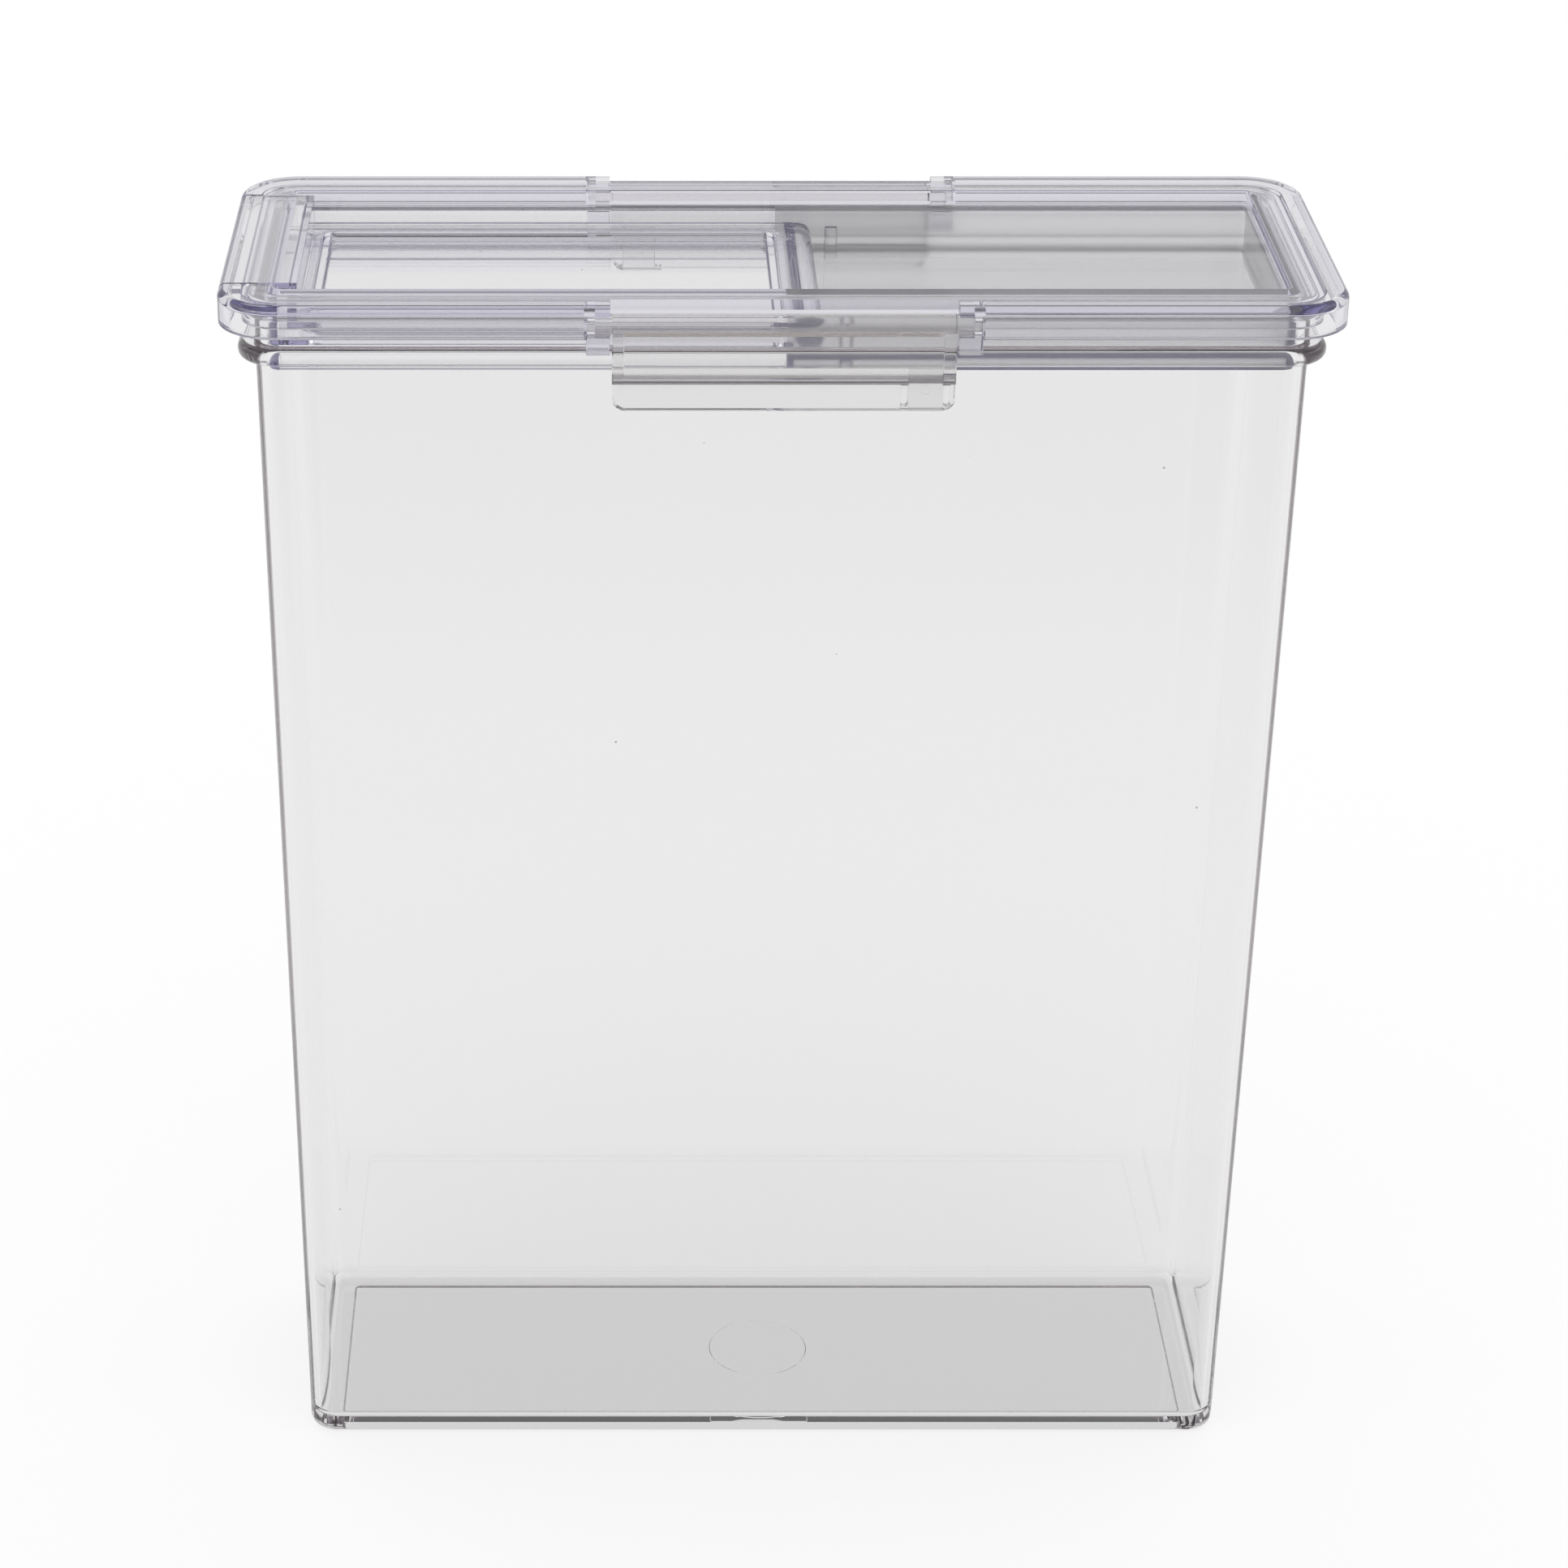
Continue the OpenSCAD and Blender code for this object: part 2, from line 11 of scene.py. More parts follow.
import bmesh
import bpy
import numpy as np
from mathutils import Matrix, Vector

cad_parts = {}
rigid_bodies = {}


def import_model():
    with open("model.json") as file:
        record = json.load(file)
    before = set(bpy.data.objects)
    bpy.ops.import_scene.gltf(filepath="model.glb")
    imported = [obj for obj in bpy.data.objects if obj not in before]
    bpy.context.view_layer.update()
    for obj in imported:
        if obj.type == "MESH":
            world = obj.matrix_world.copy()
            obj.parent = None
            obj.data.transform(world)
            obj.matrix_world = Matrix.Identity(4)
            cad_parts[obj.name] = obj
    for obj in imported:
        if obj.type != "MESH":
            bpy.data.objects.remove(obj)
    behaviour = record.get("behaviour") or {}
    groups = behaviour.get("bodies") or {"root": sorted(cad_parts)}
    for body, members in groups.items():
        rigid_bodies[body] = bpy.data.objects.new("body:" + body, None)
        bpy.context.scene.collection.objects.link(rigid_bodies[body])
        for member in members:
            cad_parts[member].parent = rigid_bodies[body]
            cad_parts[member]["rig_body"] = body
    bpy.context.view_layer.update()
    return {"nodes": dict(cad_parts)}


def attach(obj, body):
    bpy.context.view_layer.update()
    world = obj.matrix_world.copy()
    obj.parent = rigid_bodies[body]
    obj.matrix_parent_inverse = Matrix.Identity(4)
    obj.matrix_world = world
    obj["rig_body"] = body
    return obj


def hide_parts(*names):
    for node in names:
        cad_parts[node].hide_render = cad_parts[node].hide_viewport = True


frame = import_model()
MM = 0.001
body_of = {name: node["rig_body"] for name, node in frame["nodes"].items()}
print("nodes and the bodies they ride on:", body_of)

# %% [markdown]
# Small helpers. A colour is written as the sRGB hex that a colour picker shows, and one function
# turns it into the linear numbers that a shader wants. Another adds a node with its settings and
# links, which keeps every material below short enough to read.

# %% Colour and node helpers
def linear(text):
    """#RRGGBB to linear red, green, blue and alpha: the sRGB curve is undone channel by channel."""
    s = np.array([int(text[i:i + 2], 16) / 255 for i in (1, 3, 5)])
    low, high = s / 12.92, ((s + 0.055) / 1.055) ** 2.4
    return (*np.where(s <= 0.04045, low, high).tolist(), 1.0)


def add(tree, kind, inputs=None, **settings):
    """Adds a node. An input is a number, a colour, or an output socket to link from."""
    node = tree.nodes.new(kind)
    for name, value in settings.items():
        setattr(node, name, value)
    for name, value in (inputs or {}).items():
        if isinstance(value, bpy.types.NodeSocket):
            tree.links.new(value, node.inputs[name])
        else:
            node.inputs[name].default_value = value
    return node


print("mid grey #808080 is", round(linear("#808080")[0], 3), "in linear light")

# %% [markdown]
# The camera stands where the photographer stood. Its distance, tilt and lens were worked out from
# the container's own edges: two box corners per side give the pitch of 24.5 degrees and a distance
# of about a metre. The picture was cropped off centre, so a small shift moves the frame.

# %% Camera
camera = bpy.data.objects.new("camera", bpy.data.cameras.new("camera"))
bpy.context.scene.collection.objects.link(camera)
camera.location = (-0.0392, -0.8997, 0.6063)
pitch = 24.53
camera.rotation_euler = (math.radians(90 - pitch), 0, 0)
camera.data.sensor_width = 36
camera.data.lens = 95.04
camera.data.shift_x = 0.11387
camera.data.shift_y = -0.07604
camera.data.clip_start = 0.01
bpy.context.scene.camera = camera
print("camera pitch", pitch, "degrees down, lens", round(camera.data.lens, 2), "mm")

# %% [markdown]
# The body is one injection moulding: a tapered bin with a rolled bead under its mouth. Every level
# of it is a rounded rectangle, so the whole surface is one family of curves: a list of levels, each
# with its half length, half depth, corner radius and height. The list starts in the middle of the
# underside, runs out and up the outside, over the rim, down the inside and in to the middle of the
# floor. Small arcs between the levels are the moulded edges that catch the light.

# %% The numbers of the body, in millimetres
mouth_x, mouth_y, corner = 117.0, 39.2, 6.0
lean = math.tan(math.radians(0.77))
wall, floor_low, floor_top = 2.4, 1.0, 3.6
bead_z, bead_r, bead_out, rim_z = 288.9, 2.0, 3.9, 297.3
bead_edge, rim_edge, base_edge, floor_edge = 2.0, 0.6, 3.0, 3.4
base_x, base_y = mouth_x - lean * bead_z, mouth_y - lean * bead_z
print("underside", round(2 * base_x, 1), "by", round(2 * base_y, 1), "mm")


# %% [markdown]
# A moulding has no knife edges. This helper takes a profile with sharp corners and a radius for
# each, and swaps every corner for an arc. A row of the profile holds half length, half depth,
# corner radius and height, so the arc is worked out in all four numbers at once.

# %% Round the corners of a profile
def soften(rows, radii, steps=4):
    """Swaps corner i of the polyline for an arc of radius radii[i]: the arc starts and ends the
    radius over the tangent of half the corner's angle away from it, and is the rational curve
    ((1-t)^2 before + 2w t(1-t) corner + t^2 after) / ((1-t)^2 + 2w t(1-t) + t^2), where w is the
    sine of half the angle, which makes it a true circle."""
    rows = np.asarray(rows, float)
    out = [rows[:1]]
    for i in range(1, len(rows) - 1):
        back, on = rows[i - 1] - rows[i], rows[i + 1] - rows[i]
        long_back, long_on = np.linalg.norm(back[[0, 3]]), np.linalg.norm(on[[0, 3]])
        if radii[i] <= 0 or min(long_back, long_on) < 1e-6:
            out.append(rows[i:i + 1])
            continue
        half = 0.5 * math.acos(np.clip(back[[0, 3]] @ on[[0, 3]] / (long_back * long_on), -1, 1))
        if half > 1.5:
            out.append(rows[i:i + 1])
            continue
        reach = min(radii[i] / math.tan(half), 0.48 * long_back, 0.48 * long_on)
        before, after = rows[i] + back * reach / long_back, rows[i] + on * reach / long_on
        t = np.linspace(0, 1, steps + 1)[:, None]
        a, b, c = (1 - t) ** 2, 2 * math.sin(half) * t * (1 - t), t ** 2
        out.append((a * before + b * rows[i] + c * after) / (a + b + c))
    out.append(rows[-1:])
    return np.vstack(out)


probe = soften([[1, 0, 0, 0], [1, 0, 0, 1], [0, 0, 0, 1]], [0, 0.4, 0])[1:-1]
print("an arc of radius 0.4 has its points", np.hypot(probe[:, 0] - 0.6, probe[:, 3] - 0.6).round(4),
      "from its centre")

# %% [markdown]
# One function skins a list of levels. Each level is drawn with the same number of points, so level
# after level joins up into a grid of quads. A shell is closed at its two ends by a point in the
# middle of a flat face; a ring's last level joins its first instead.

# %% Skin a list of levels
def skin(name, rows, arc=20, side=6, ring=False, middle=(0, 0)):
    """Point j of level i is the centre of its corner plus the radius along angle a of a quarter
    turn, (x - r) + r cos a and (y - r) + r sin a, mirrored into the four corners, with straight
    runs of equal steps between them."""
    a = np.radians(np.linspace(0, 90, arc + 1))
    x, y, r, z = (rows[:, i:i + 1] for i in range(4))
    r = np.minimum(r, np.minimum(x, y))
    px, py = x - r + r * np.cos(a), y - r + r * np.sin(a)
    corners = [(px, py), (-px[:, ::-1], py[:, ::-1]), (-px, -py), (px[:, ::-1], -py[:, ::-1])]
    t = np.linspace(0, 1, side + 1)[1:-1]
    xs, ys = [], []
    for k, (qx, qy) in enumerate(corners):
        nx, ny = corners[(k + 1) % 4]
        xs += [qx, qx[:, -1:] * (1 - t) + nx[:, :1] * t]
        ys += [qy, qy[:, -1:] * (1 - t) + ny[:, :1] * t]
    xs, ys = np.hstack(xs) + middle[0], np.hstack(ys) + middle[1]
    levels, around = xs.shape
    points = np.stack([xs, ys, np.broadcast_to(z, xs.shape)], axis=2).reshape(-1, 3) * MM
    i, j = np.meshgrid(np.arange(levels if ring else levels - 1), np.arange(around), indexing="ij")
    up, on = (i + 1) % levels, (j + 1) % around
    faces = np.stack([i * around + j, i * around + on, up * around + on, up * around + j], axis=2)
    faces = faces.reshape(-1, 4).tolist()
    if not ring:
        base, j = len(points), np.arange(around)
        last = base - around + j
        points = np.vstack([points, [[middle[0] * MM, middle[1] * MM, h * MM] for h in z[[0, -1], 0]]])
        faces += np.stack([j, np.full(around, base), (j + 1) % around], axis=1).tolist()
        faces += np.stack([last, np.roll(last, -1), np.full(around, base + 1)], axis=1).tolist()
    return tidy_mesh(name, points, faces)


def tidy_mesh(name, points, faces):
    """Puts points and faces into a mesh, merges doubles and turns every face of the shell out."""
    mesh = bpy.data.meshes.new(name)
    mesh.from_pydata(np.asarray(points).tolist(), [], faces)
    work = bmesh.new()
    work.from_mesh(mesh)
    bmesh.ops.remove_doubles(work, verts=work.verts, dist=1e-7)
    bmesh.ops.recalc_face_normals(work, faces=work.faces)
    if work.calc_volume(signed=True) < 0:
        bmesh.ops.reverse_faces(work, faces=work.faces)
    work.to_mesh(mesh)
    work.free()
    return mesh


# %% [markdown]
# A piece is finished the same way each time. Its flat areas are joined, creases are marked sharp,
# and Weighted Normal lets a large flat face set the shading at its border, so that it stays flat
# to the eye and to the light that passes through it, while the small arcs beside it do the bending.

# %% Finish a piece
def finished(name, mesh, stands_for, crease=36):
    """Makes a piece of a mesh, in place of the node it stands for and riding on that node's body.
    An edge is a crease where its two faces turn by more than the crease's degrees."""
    work = bmesh.new()
    work.from_mesh(mesh)
    bmesh.ops.dissolve_limit(work, angle_limit=math.radians(0.05), verts=work.verts,
                             edges=work.edges)
    for edge in work.edges:
        edge.smooth = len(edge.link_faces) == 2 and edge.calc_face_angle(0) < math.radians(crease)
    open_edges = sum(not edge.is_manifold for edge in work.edges)
    volume = work.calc_volume(signed=True) * 1e6
    work.to_mesh(mesh)
    work.free()
    mesh.name = name
    mesh.polygons.foreach_set("use_smooth", np.ones(len(mesh.polygons), bool))
    thing = bpy.data.objects.new(name, mesh)
    bpy.context.scene.collection.objects.link(thing)
    shade = thing.modifiers.new("flat faces stay flat", "WEIGHTED_NORMAL")
    shade.keep_sharp, shade.weight = True, 90
    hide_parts(stands_for)
    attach(thing, body_of[stands_for])
    print(name, len(mesh.polygons), "faces,", open_edges, "open edges,", round(volume, 2), "ml")
    return thing


# %% [markdown]
# The body's levels, from the middle of the underside round to the middle of the floor. Its underside
# has a shallow pocket inside the foot, with the round disc of the mould's gate in its middle.

# %% Levels of the body
def level(z, inset=0.0, radius=corner):
    """A level of the tapered wall: the sides move in by the draft times the drop from the bead."""
    h = inset + lean * (bead_z - z)
    return [mouth_x - h, mouth_y - h, radius, z]


def grown(radius, z):
    """A level whose corner has this radius about the corner centre that the mouth's outlines
    share."""
    return [mouth_x - corner + radius, mouth_y - corner + radius, radius, z]


def disc(radius, z):
    """A round level: the gate's disc in the middle of the underside."""
    return [radius, radius, radius, z]


inner = corner - wall
foot_x, foot_y, foot_r = base_x - 8.1, base_y - 6.2, 1.0
pocket = [foot_x, foot_y, foot_r]
outside = soften(
    [disc(12.2, floor_low + 0.25), disc(12.35, floor_low + 0.25), disc(12.45, floor_low),
     [*pocket, floor_low], [foot_x + 0.05, foot_y + 0.05, 1.05, 0.0],
     [base_x, base_y, corner, 0.0], level(30)],
    [0, 0.1, 0.1, 0.3, 0.4, base_edge, 0], steps=8)
bead_and_rim = soften(
    [level(282), grown(corner, bead_z - bead_r), grown(corner + bead_out, bead_z - bead_r),
     grown(corner + bead_out, bead_z + bead_r), grown(corner, bead_z + bead_r),
     grown(corner, rim_z), grown(inner, rim_z), grown(inner, bead_z), level(280, wall, inner)],
    [0, 0.4, bead_edge, bead_edge, 0.4, rim_edge, rim_edge, 0, 0], steps=8)
inside = soften(
    [level(12, wall, inner), level(floor_top, wall, inner), [*pocket, floor_top],
     [20, 20, 20, floor_top]],
    [0, floor_edge, 0, 0], steps=10)
body_rows = np.vstack([
    outside, np.linspace(level(40), level(280), 5), bead_and_rim,
    np.linspace(level(270, wall, inner), level(20, wall, inner), 5), inside])
body_piece = finished("body_moulding", skin("body", body_rows), "body")

# %% [markdown]
# The lid, the flap and the latches are cut about by bays, gaps and pin holes. On the real part each
# comes out of its mould whole, so here each is put together from soft-edged shapes and made one
# with Boolean modifiers, which leaves no inner faces for the light to catch on.

# %% Soft-edged blocks, bars and prisms
def box(low, high, radius=0.3, edge=0.25):
    """A block from its low to its high corner: levels of one rounded rectangle, with soft edges."""
    low, high = np.array(low, float), np.array(high, float)
    hx, hy, hz = (high - low) / 2
    cx, cy, _ = (high + low) / 2
    radius, edge = min(radius, hx, hy), min(edge, hx * 0.6, hy * 0.6, hz * 0.9)
    k = min(hx, hy) * 0.5
    inner_row = [hx - k, hy - k, max(radius - k, 0)]
    rows = soften([[*inner_row, low[2]], [hx, hy, radius, low[2]], [hx, hy, radius, high[2]],
                   [*inner_row, high[2]]], [0, edge, edge, 0], steps=3 if edge else 1)
    return skin("block", rows, arc=4, side=1, middle=(cx, cy))


def plan(x0, x1, half_y, radius, z0, z1, edge=0.25, arc=8):
    """A block with round upright corners, as box but with more points on each."""
    hx, cx = (x1 - x0) / 2, (x0 + x1) / 2
    rows = soften([[hx - 1, half_y - 1, radius, z0], [hx, half_y, radius, z0],
                   [hx, half_y, radius, z1], [hx - 1, half_y - 1, radius, z1]],
                  [0, edge, edge, 0], steps=3 if edge else 1)
    return skin("plan", rows, arc=arc, side=1, middle=(cx, 0))


def bar(axis, start, end, centre, radius, edge=0.25, around=48):
    """A round bar along x or y: circles whose radius grows from nothing at each end along a small
    arc. Its circles are points radius cos a, radius sin a about the centre."""
    rows = soften([[radius * 0.5, 0, 0, start], [radius, 0, 0, start], [radius, 0, 0, end],
                   [radius * 0.5, 0, 0, end]], [0, edge, edge, 0], steps=3 if edge else 1)
    a = np.linspace(0, 2 * np.pi, around, endpoint=False)
    r, along = rows[:, :1], np.broadcast_to(rows[:, 3:4], (len(rows), around))
    u, v = r * np.cos(a) + centre[0], r * np.sin(a) + centre[1]
    grid = np.stack([along, u, v] if axis == "x" else [u, along, v], axis=2).reshape(-1, 3) * MM
    count = len(rows)
    i, j = np.meshgrid(np.arange(count - 1), np.arange(around), indexing="ij")
    on = (j + 1) % around
    faces = np.stack([i * around + j, i * around + on, (i + 1) * around + on, (i + 1) * around + j],
                     axis=2).reshape(-1, 4).tolist()
    faces += [list(range(around))[::-1], list(range((count - 1) * around, count * around))]
    return tidy_mesh("bar", grid, faces)


def prism(outline, start, end, axis="x"):
    """A flat outline carried straight along an axis. The outline is in the two other axes."""
    outline = np.asarray(outline, float)
    n = len(outline)
    ends = [np.insert(outline, 0 if axis == "x" else 1, v, axis=1) for v in (start, end)]
    j = np.arange(n)
    faces = np.stack([j, (j + 1) % n, (j + 1) % n + n, j + n], axis=1).tolist()
    return tidy_mesh("prism", np.vstack(ends) * MM,
                     faces + [j[::-1].tolist(), (j + n).tolist()])


def rounded_outline(points, radii, steps=6):
    """A closed flat outline with each corner swapped for an arc, by soften."""
    p = np.asarray(points, float)
    rows = np.zeros((len(p) + 2, 4))
    rows[1:-1, 0], rows[1:-1, 3] = p[:, 0], p[:, 1]
    rows[0], rows[-1] = (rows[1] + rows[-2]) / 2, (rows[1] + rows[-2]) / 2
    return soften(rows, [0, *radii, 0], steps)[:-1][:, [0, 3]]


# %% Make many shapes one
def one(start, steps):
    """Applies the steps to the first shape in turn: + joins a mesh on, - cuts it away and & keeps
    only what lies inside it."""
    scene, helpers = bpy.context.scene.collection.objects, []
    base = bpy.data.objects.new("base", start)
    scene.link(base)
    operations = {"+": "UNION", "-": "DIFFERENCE", "&": "INTERSECT"}
    for sign, mesh in steps:
        other = bpy.data.objects.new("other", mesh)
        scene.link(other)
        helpers.append(other)
        cut = base.modifiers.new("step", "BOOLEAN")
        cut.operation, cut.object, cut.solver = operations[sign], other, "MANIFOLD"
    depsgraph = bpy.context.evaluated_depsgraph_get()
    result = bpy.data.meshes.new_from_object(base.evaluated_get(depsgraph))
    for thing in [base, *helpers]:
        bpy.data.objects.remove(thing)
    return result


def mirrored(mesh, x=1, y=1):
    """A copy turned half a turn about z for x = y = -1, or mirrored in one of them."""
    points = np.empty(len(mesh.vertices) * 3)
    mesh.vertices.foreach_get("co", points)
    faces = [tuple(f.vertices) for f in mesh.polygons]
    return tidy_mesh("copy", points.reshape(-1, 3) * (x, y, 1), faces)


# %% [markdown]
# The lid's frame is one closed profile carried round the mouth: the rim's plate with its two rolled
# edges, the skirt, the rib of the seal's channel and the deep plug wall. These are the stripes that
# show through the clear rim, so each one's place is the photograph's.

# %% The numbers of the lid
lid_x, lid_y, lid_r = 125.0, 47.2, 13.5
top_z, plate_z, skirt_z, rib_z, roof_z = 302.8, 300.4, 295.1, 296.0, 299.2
tray_z, well_z, shelf_z, shelf_low = 284.4, 286.4, 291.0, 289.0
plug_r, recess_r, rib_r, rib_t, skirt_t = 2.95, 0.65, 7.3, 1.6, 2.4
recess_x, recess_y = mouth_x - corner + recess_r, mouth_y - corner + recess_r
hinge_x, hinge_z, latch_y, latch_z = 6.0, 292.2, 44.8, 297.9
hole_r, pin_r = 2.05, 2.0
print("lid", 2 * lid_x, "by", 2 * lid_y, "mm, tray", round(top_z - tray_z, 1), "mm deep")


def outer(inset, z):
    """A level of the lid's outer side, moved in by the inset with its corner centres kept."""
    return [lid_x - inset, lid_y - inset, lid_r - inset, z]


def lid_space(z0):
    """The space inside the lid's outer surface, with its rolled upper edge."""
    rows = soften([outer(8, z0), outer(0, z0), outer(0, top_z), outer(8, top_z)], [0, 0, 1.8, 0], 10)
    return skin("space", rows, arc=24, side=1)


# %% The lid's frame
def lid_frame():
    """The profile in order: the opening's wall up, over the rim, down the skirt, up to the plate's
    underside, round the seal's rib, under the roof and down the plug wall."""
    corners = [grown(recess_r, tray_z), grown(recess_r, top_z), outer(0, top_z), outer(0, skirt_z),
               outer(skirt_t, skirt_z), outer(skirt_t, plate_z), grown(rib_r + rib_t, plate_z),
               grown(rib_r + rib_t, rib_z), grown(rib_r, rib_z), grown(rib_r, roof_z),
               grown(plug_r, roof_z), grown(plug_r, tray_z)]
    radii = [0.3, 1.4, 1.8, 0.4, 0.4, 0.4, 0.4, 0.35, 0.35, 0.3, 0.3, 0.4]
    closed = soften([corners[-1], *corners, corners[0]], [0, *radii, 0], steps=8)[1:-1]
    return skin("frame", closed, arc=24, side=4, ring=True)


# The bays of the two latches and the gap of the tab. A cut reaches past the surface it opens.
bay_y, ear_x, ear_t, latch_x = 42.1, 41.5, 2.4, 37.8
past = 1.0
bay = [box([-ear_x, -lid_y - past, skirt_z - past], [ear_x, -bay_y, plate_z], 0, 0),
       box([-latch_x - 0.4, -lid_y - past, plate_z - past], [latch_x + 0.4, -bay_y, top_z + past],
           0.3, 0)]
notch_x, notch_y, ledge_z = 122.0, 31.6, 300.7
gap = [box([-lid_x - past, -notch_y, ledge_z], [-recess_x + past, notch_y, top_z + past], 0.3, 0),
       box([-lid_x - past, -notch_y, skirt_z - past], [-notch_x, notch_y, top_z + past], 0.3, 0)]

# %% [markdown]
# Inside the frame hang the deep tray on the right, the shelf round the pour opening on the left and
# the wall between them. Ears with feet hold the latches' pins, and a ledge with two cheeks closes
# the gap under the spout's tab.

# %% The lid in one
# What is joined to the frame reaches into its wall, by less than the wall's thickness.
hidden = 1.15
cross_x0, cross_x1 = 0.9, 2.5
pour = plan(-105.9, cross_x0, 28.45, 3.9, shelf_low - past, shelf_z + past, edge=0)
shelf = one(box([-recess_x - hidden, -recess_y - hidden, shelf_low],
                [cross_x1, recess_y + hidden, shelf_z], 0.3, 0.3), [("-", pour)])
tray = box([cross_x0, -recess_y - hidden, tray_z], [recess_x + hidden, recess_y + hidden, well_z],
           0.3, 0.3)
cross = box([cross_x0, -recess_y - hidden, tray_z], [cross_x1, recess_y + hidden, shelf_z], 0.3, 0.3)
stop = box([12.6, recess_y - 1.5, well_z - past], [15.6, recess_y + past, 294.25], 1.4, 0.25)
ledge = box([-notch_x, -notch_y - rib_t, roof_z], [-recess_x - hidden, notch_y + rib_t, ledge_z],
            0.3, 0.2)
cheek = one(box([-lid_x - past, notch_y, roof_z], [-recess_x - hidden, notch_y + rib_t,
                                                    top_z + past], 0.3, 0.2),
            [("&", lid_space(skirt_z - past))])
ear_back = 0.2 - bay_y
foot_x0, foot_x1, foot_low, foot_top = latch_x + 0.4, 43.5, 291.6, 295.7
ear = box([ear_x, -lid_y, skirt_z], [ear_x + ear_t, ear_back, plate_z + past], 0.3, 0.25)
foot = box([foot_x0, -lid_y, foot_low], [foot_x1, ear_back, foot_top], 0.3, 0.25)
bay_wall = box([-foot_x1, -bay_y, foot_low], [foot_x1, rib_t - bay_y, plate_z + past], 0.3, 0.3)
pin_hole = bar("x", -ear_x - 1.65, ear_x + 1.65, (-latch_y, latch_z), hole_r, edge=0)
hinge_hole = bar("y", -recess_y - 1.35, recess_y + 1.35, (hinge_x, hinge_z), hole_r, edge=0)

steps = [("-", m) for m in bay + [mirrored(m, y=-1) for m in bay] + gap]
steps += [("+", m) for m in (shelf, tray, cross, stop, mirrored(stop, y=-1), ledge, cheek,
                             mirrored(cheek, y=-1))]
for y in (1, -1):
    steps += [("+", mirrored(m, x, y)) for m in (ear, foot) for x in (1, -1)]
    steps += [("+", mirrored(bay_wall, 1, y))]
steps += [("-", pin_hole), ("-", mirrored(pin_hole, y=-1)), ("-", hinge_hole)]
lid_piece = finished("lid_moulding", one(lid_frame(), steps), "lid")

# %% [markdown]
# The flap is a thin panel with a sunk window, a lip that drops into the pour opening, a hinge barrel
# with its two moulded pins, and the upright that carries the tab over the rim.

# %% The flap
flap_y, flap_low, flap_top, riser_x = 33.35, 293.5, 295.5, -109.6
tab_y, tab_z, tab_lip = 31.0, 301.0, 2.4


def window(grow, z0, z1, edge=0.25):
    """The window's plan from z0 to z1, grown by this much on every side."""
    return plan(-103.5 - grow, -1.5 + grow, 26.05 + grow, 1.5 + grow, z0, z1, edge)


tab = one(box([-lid_x - past, -tab_y, tab_z], [riser_x + 2.0, tab_y, top_z + past], 0.3, 0.25),
          [("+", box([-lid_x - past, -tab_y, skirt_z], [-lid_x + tab_lip, tab_y, top_z + past],
                     0.3, 0.3)),
           ("&", lid_space(skirt_z - past))])
flap_mesh = one(box([riser_x, -flap_y, flap_low], [hinge_x, flap_y, flap_top], 0.3, 0.3), [
    ("+", window(1.8, 289.4, flap_top - 1.0)),
    ("-", window(0, 293.0, flap_top + past, 0.3)),
    ("-", window(0, 289.4 - past, 291.2, 0.3)),
    ("+", bar("y", -flap_y, flap_y, (hinge_x, hinge_z), 3.3)),
    ("+", bar("y", -recess_y - 1.3, recess_y + 1.3, (hinge_x, hinge_z), pin_r)),
    ("+", box([riser_x, -tab_y, flap_low], [riser_x + 2.0, tab_y, top_z - 0.9], 0.3, 0.3)),
    ("+", tab)])
flap_piece = finished("spout_flap_moulding", flap_mesh, "spout_flap")

# %% [markdown]
# A latch is a plate with round lower corners, a barrel with a pin at each end, a hook that runs its
# whole length, a rib at each end, and inside its pull tab the block behind the gate, with a slot on
# each side. The gate's pad is let into the face and left matt.

# %% A latch
latch_low, hook_low, hook_top, plate_in, pull_r = 278.6, 284.4, 286.6, 45.3, 3.0
gate_x, gate_half, slot_w = 6.6 - latch_x, 3.85, 1.6
face = rounded_outline([(-latch_x, latch_z), (-latch_x, latch_low), (latch_x, latch_low),
                        (latch_x, latch_z)], [0, pull_r, pull_r, 0], steps=12)


def latch_plate():
    """The plate's outline drawn smaller at its two faces, so that its edge is soft: point minus
    the outline's own inward step times the edge's size."""
    soft = 0.3
    depth = [(-soft, plate_in), (0, plate_in + soft), (0, lid_y - soft), (-soft, lid_y)]
    centre = np.array([0, (latch_low + latch_z) / 2])
    size = np.array([latch_x, (latch_z - latch_low) / 2])
    rows = [(face - centre) * (1 + g / size) + centre for g, _ in depth]
    n, levels = len(face), len(depth)
    points = np.vstack([np.insert(p, 1, y, axis=1) for p, (_, y) in zip(rows, depth)])
    i, j = np.meshgrid(np.arange(levels - 1), np.arange(n), indexing="ij")
    on = (j + 1) % n
    faces = np.stack([i * n + j, i * n + on, (i + 1) * n + on, (i + 1) * n + j], axis=2)
    ends = [list(range(n))[::-1], list(range((levels - 1) * n, levels * n))]
    return tidy_mesh("plate", points * MM, faces.reshape(-1, 4).tolist() + ends)


